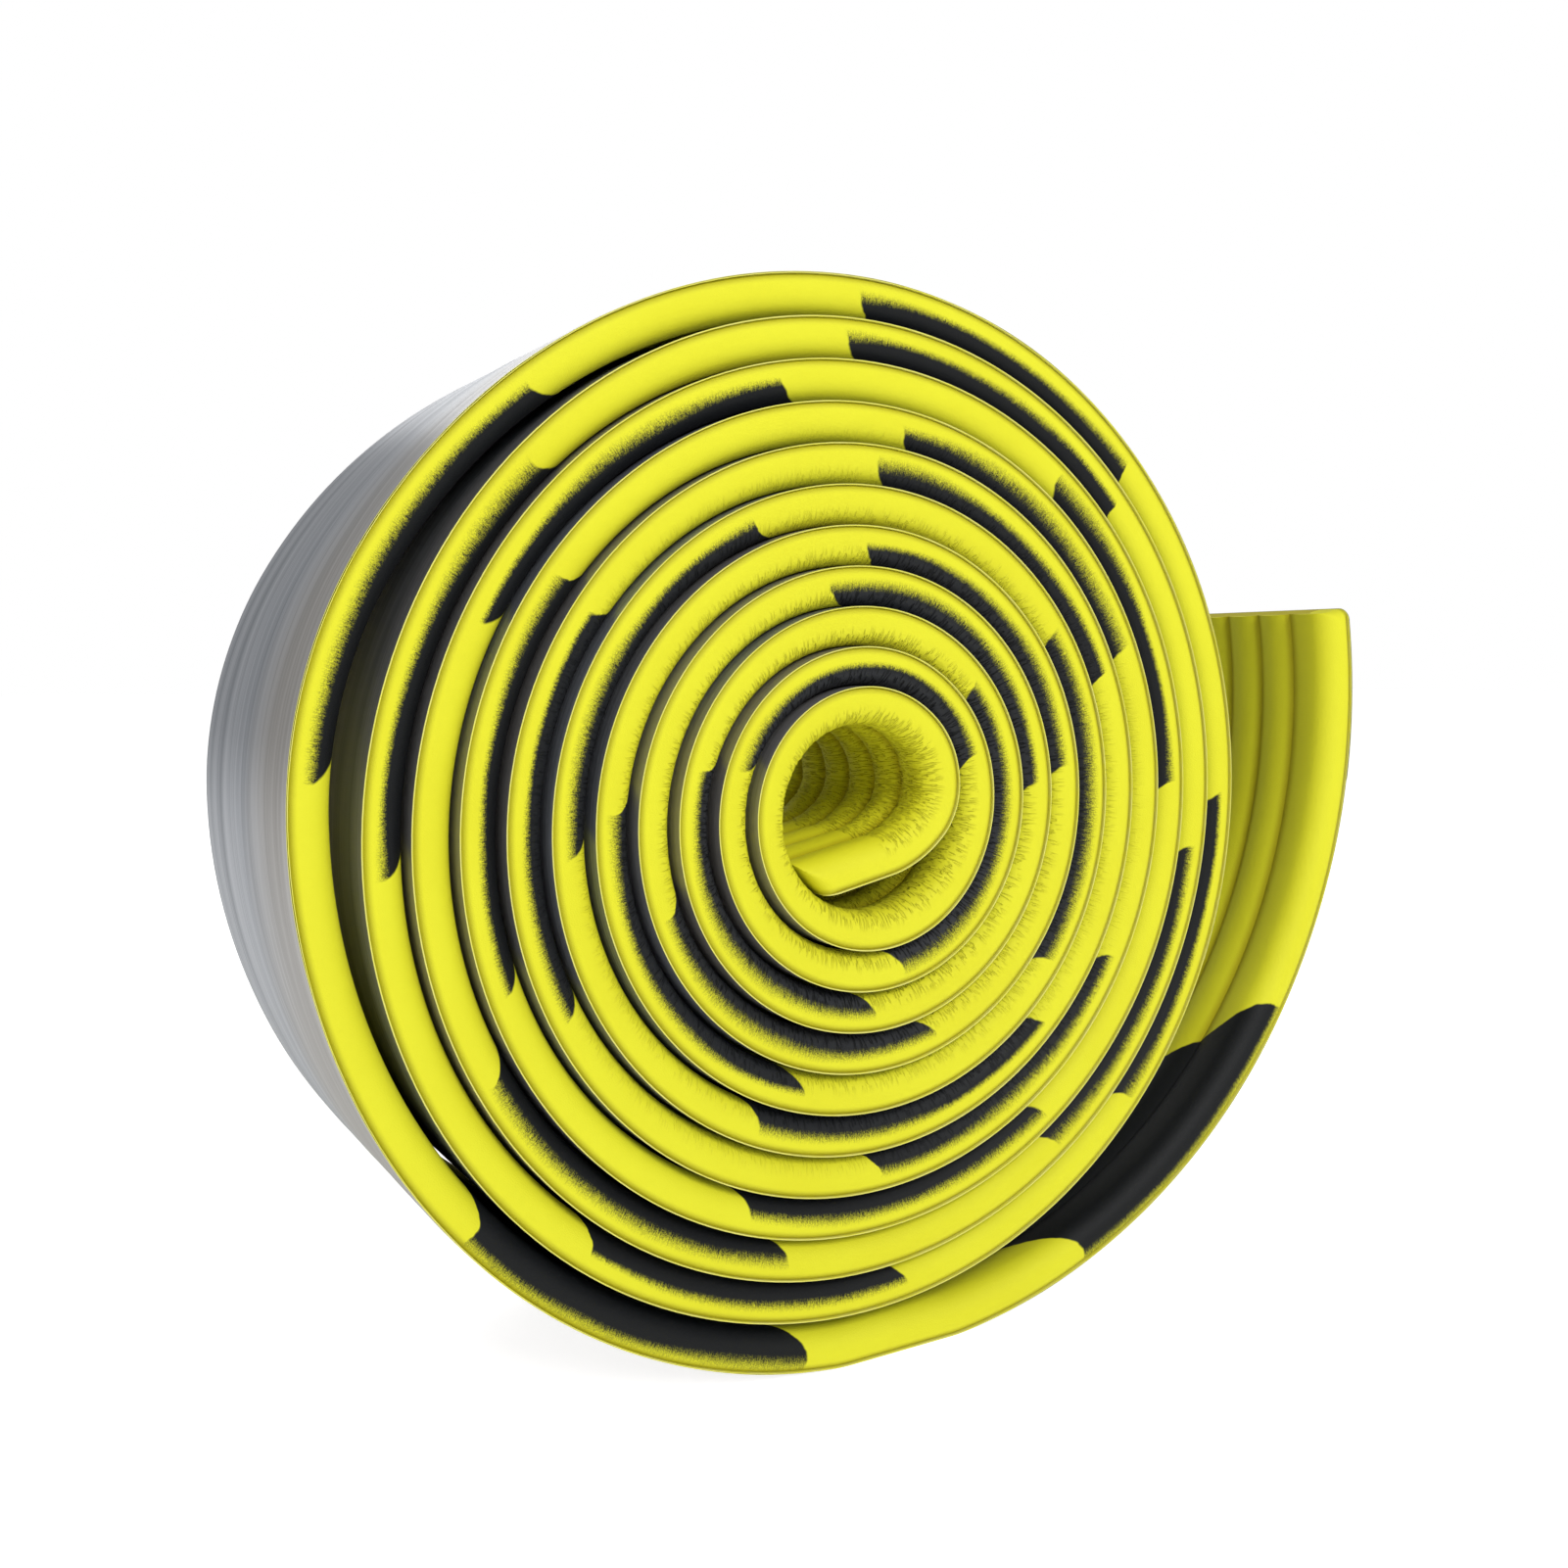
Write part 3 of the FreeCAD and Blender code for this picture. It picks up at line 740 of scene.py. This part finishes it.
def film_material():
    material = new_material("release_film_grey")
    tree = material.node_tree
    wide = strip_noise(tree, (260 * MM, 6 * MM, 500 * MM), 2.0)
    fine = strip_noise(tree, (90 * MM, 0.7 * MM, 500 * MM), 3.0, 0.6)
    streak = calculate(tree, "MULTIPLY_ADD", fine, 0.55, calculate(tree, "MULTIPLY", wide, 0.45))
    colour = mix_colour(tree, ramp(tree, streak, 0.36, 0.64), FILM_DARK, FILM_LIGHT)
    tone = strip_noise(tree, (210 * MM, 120 * MM, 500 * MM), 1.0)
    out = calculate(tree, "ABSOLUTE", read_attribute(tree, "across"))
    cut_edge = calculate(tree, "GREATER_THAN", out, STRIP_WIDTH / 2 - 0.02 * MM)
    # painted reflection: large random patches of the film are tinted warm
    colour = mix_colour(tree, ramp(tree, tone, 0.45, 0.62, 0.0, 0.6), colour, FILM_WARM_REFLECTION)
    colour = mix_colour(tree, cut_edge, colour, ADHESIVE_PALE)
    relief = calculate(tree, "MULTIPLY_ADD", fine, 0.4, wide)
    bump = add(tree, "ShaderNodeBump", {"Height": relief, "Strength": 0.35, "Distance": 0.08 * MM}).outputs[0]
    roughness = ramp(tree, streak, 0.35, 0.65, 0.42, 0.28)
    inputs = {"Base Color": colour, "Roughness": roughness, "Normal": bump}
    shader = add(tree, "ShaderNodeBsdfPrincipled", inputs)
    shader.inputs["Metallic"].default_value = 0.55
    add(tree, "ShaderNodeOutputMaterial", {"Surface": shader.outputs[0]})
    return material


ADHESIVE_COAT = adhesive_material()
RELEASE_FILM = film_material()

# %% [markdown]
# ## Sweeping a length of the strip
# A length is made in four steps: sample its path, hang the sweep tree on it as a modifier, set the
# tree's inputs, and turn the evaluated result into a plain mesh. The faces are then checked: the
# signed volume of a closed mesh is positive when they point outwards.


# %% The maker of one swept piece
def set_inputs(modifier, values):
    for item in SWEEP.interface.items_tree:
        if item.item_type == "SOCKET" and item.in_out == "INPUT" and item.name in values:
            modifier[item.identifier] = values[item.name]


def face_outwards(mesh):
    work = bmesh.new()
    work.from_mesh(mesh)
    if work.calc_volume(signed=True) < 0:
        bmesh.ops.reverse_faces(work, faces=work.faces)
    volume = work.calc_volume(signed=True)
    open_edges = sum(1 for edge in work.edges if not edge.is_manifold)
    work.to_mesh(mesh)
    work.free()
    return volume, open_edges


def swept(name, section, finish, start, end, step, **extra):
    piece = path_object(name, start, end, step)
    modifier = piece.modifiers.new("sweep", "NODES")
    modifier.node_group = SWEEP
    values = {"Section": section, "Finish": finish}
    values.update({key.replace("_", " ").title(): value for key, value in extra.items()})
    set_inputs(modifier, values)
    bpy.context.view_layer.update()
    evaluated = piece.evaluated_get(bpy.context.evaluated_depsgraph_get())
    mesh = bpy.data.meshes.new_from_object(evaluated)
    piece.modifiers.clear()
    piece.data = mesh
    volume, open_edges = face_outwards(mesh)
    mesh.set_sharp_from_angle(angle=math.radians(42))
    triangles = sum(len(face.vertices) - 2 for face in mesh.polygons)
    print(name, "volume cm3", round(volume * 1e6, 2), "triangles", triangles, "open edges", open_edges)
    return piece


# %% [markdown]
# ## The wound part
# The wound foam is three pieces that meet face to face, so that the tightly bent inner turns can
# have finer steps for their creases. The film's last turn is seen from outside and is a piece of
# its own, with enough columns for its ripples.

# %% Make the wound foam, adhesive and film
WOUND = [
    swept(
        "foam_inner_turns", FOAM_SECTION, FOAM_SKIN, None, FINE_END, 1.0,
        crease_depth=0.3 * MM, end_slant=5 * MM,
    ),
    swept("foam_middle_turns", FOAM_SECTION, FOAM_SKIN, FINE_END, MIDDLE_END, 1.5, crease_depth=0.22 * MM),
    swept("foam_outer_turns", FOAM_SECTION, FOAM_SKIN, MIDDLE_END, ROLL_END, 1.5),
    swept("adhesive_wound", ADHESIVE_SECTION, ADHESIVE_COAT, None, ROLL_END, 2.0),
    swept("film_wound", FILM_SECTION, RELEASE_FILM, None, COVER_START, 2.0),
    swept("film_last_turn", COVER_SECTION, RELEASE_FILM, COVER_START, ROLL_END, 1.5, ripple_height=0.15 * MM),
]
for piece in WOUND:
    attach(piece, "roll")

# %% [markdown]
# ## The loose end
# Each length of foam, adhesive and film lies across one hinge. The last length of foam and
# adhesive rides on the last body, and the film's end is a piece of its own that stands off the adhesive.


LAYERS = [
    ("foam", FOAM_SECTION, FOAM_SKIN, {}),
    ("adhesive", ADHESIVE_SECTION, ADHESIVE_COAT, {}),
    ("film", COVER_SECTION, RELEASE_FILM, {"ripple_height": 0.15 * MM}),
]
LOOSE = {}
for number in range(1, LOOSE_LENGTHS + 1):
    start, end = BENDS[number - 1], BENDS[number]
    for layer, section, finish, extra in LAYERS:
        piece = swept(f"{layer}_bend_{number}", section, finish, start, end, 1.0, **extra)
        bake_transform(piece)
        LOOSE[layer, number] = piece

LAST_BODY = f"loose_{LOOSE_LENGTHS}"
for layer, section, finish, extra in LAYERS[:2]:
    piece = swept(f"{layer}_tip", section, finish, PEEL_START, LOOSE_END, 1.0, **extra)
    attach(piece, LAST_BODY)
    LOOSE[layer, "tip"] = piece

PEEL = swept(
    "film_peeling_tip", PEEL_SECTION, RELEASE_FILM, PEEL_START, LOOSE_END, 0.5,
    ripple_height=0.1 * MM,
)
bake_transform(PEEL)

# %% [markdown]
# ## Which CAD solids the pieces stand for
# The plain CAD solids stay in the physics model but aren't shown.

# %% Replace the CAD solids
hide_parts("foam_roll")
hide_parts("adhesive_roll")
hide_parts("film_between_wraps")
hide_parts("film_outer_turn")
for (layer, number), piece in LOOSE.items():
    if number != "tip":
        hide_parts(f"{layer}_loose_{number}")
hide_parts("film_peeling_end")
for piece in [*WOUND, *LOOSE.values(), PEEL]:
    kind = piece.name.split("_")[0]

# %% [markdown]
# ## Studio
# A pale floor, one large soft light in front and above, a weak warm fill from the left, a light
# behind, and a white surround. The floor and the surround look brighter to the camera than the
# light they give. The camera stands in front of the roll's left side and looks slightly down.

# %% Floor, lights and camera
FLOOR_SIZE = 16.0
FLOOR_LIGHT = 0.22
FLOOR_SEEN = 0.7


def seen_or_light(tree, seen, light):
    """One strength for the camera and another for the light it gives."""
    camera = add(tree, "ShaderNodeLightPath").outputs["Is Camera Ray"]
    return calculate(tree, "MULTIPLY_ADD", camera, seen - light, light)


def build_floor():
    mesh = bpy.data.meshes.new("studio_floor")
    half = FLOOR_SIZE / 2
    corners = [(-half, -half, 0), (half, -half, 0), (half, half, 0), (-half, half, 0)]
    mesh.from_pydata(corners, [], [(0, 1, 2, 3)])
    floor = bpy.data.objects.new("studio_floor", mesh)
    bpy.context.scene.collection.objects.link(floor)
    material = new_material("floor_pale")
    tree = material.node_tree
    inputs = {
        "Base Color": (0.95, 0.95, 0.95, 1),
        "Roughness": 0.8,
        "Emission Color": (1, 1, 1, 1),
        "Emission Strength": seen_or_light(tree, FLOOR_SEEN, FLOOR_LIGHT),
    }
    shader = add(tree, "ShaderNodeBsdfPrincipled", inputs)
    add(tree, "ShaderNodeOutputMaterial", {"Surface": shader.outputs[0]})
    mesh.materials.append(material)


def add_light(name, place, aim, size, power, colour):
    data = bpy.data.lights.new(name, "AREA")
    data.shape = "DISK"
    data.size = size
    data.energy = power
    data.color = colour
    light = bpy.data.objects.new(name, data)
    light.location = place
    light.rotation_euler = (Vector(aim) - Vector(place)).to_track_quat("-Z", "Y").to_euler()
    bpy.context.scene.collection.objects.link(light)


build_floor()
MIDDLE = (0, 0, 0.11)
LIGHTS = [  # name, place, size in metres, power in watts, colour
    ("key_light", (0.0, -1.25, 0.95), 0.8, 14, (1.0, 0.99, 0.975)),
    ("fill_light", (-1.3, -0.4, 0.5), 0.8, 1.5, (1.0, 0.96, 0.9)),
    ("back_light", (0.3, 1.3, 1.1), 1.0, 4, (1.0, 1.0, 1.0)),
]
for name, place, size, power, colour in LIGHTS:
    add_light(name, place, MIDDLE, size, power, colour)

WORLD_LIGHT = 0.38
WORLD_SEEN = 1.0
world = bpy.data.worlds.new("studio_world")
world.use_nodes = True
strength = seen_or_light(world.node_tree, WORLD_SEEN, WORLD_LIGHT)
background = world.node_tree.nodes["Background"]
background.inputs["Color"].default_value = (1.0, 1.0, 1.0, 1)
world.node_tree.links.new(strength, background.inputs["Strength"])
bpy.context.scene.world = world
bpy.context.scene.view_settings.view_transform = "Standard"

CAMERA_PLACE = Vector((-0.18877, -0.29642, 0.15129))
CAMERA_TURN = math.radians(30.5)
CAMERA_TILT = math.radians(-4.6)
CAMERA_LENS = 33.55

camera_data = bpy.data.cameras.new("camera")
camera_data.lens = CAMERA_LENS
camera_data.sensor_width = 36
camera_data.clip_start = 0.01
camera = bpy.data.objects.new("camera", camera_data)
camera.location = CAMERA_PLACE
look = Vector((
    math.sin(CAMERA_TURN) * math.cos(CAMERA_TILT),
    math.cos(CAMERA_TURN) * math.cos(CAMERA_TILT),
    math.sin(CAMERA_TILT),
))
camera.rotation_euler = look.to_track_quat("-Z", "Y").to_euler()
bpy.context.scene.collection.objects.link(camera)
bpy.context.scene.camera = camera
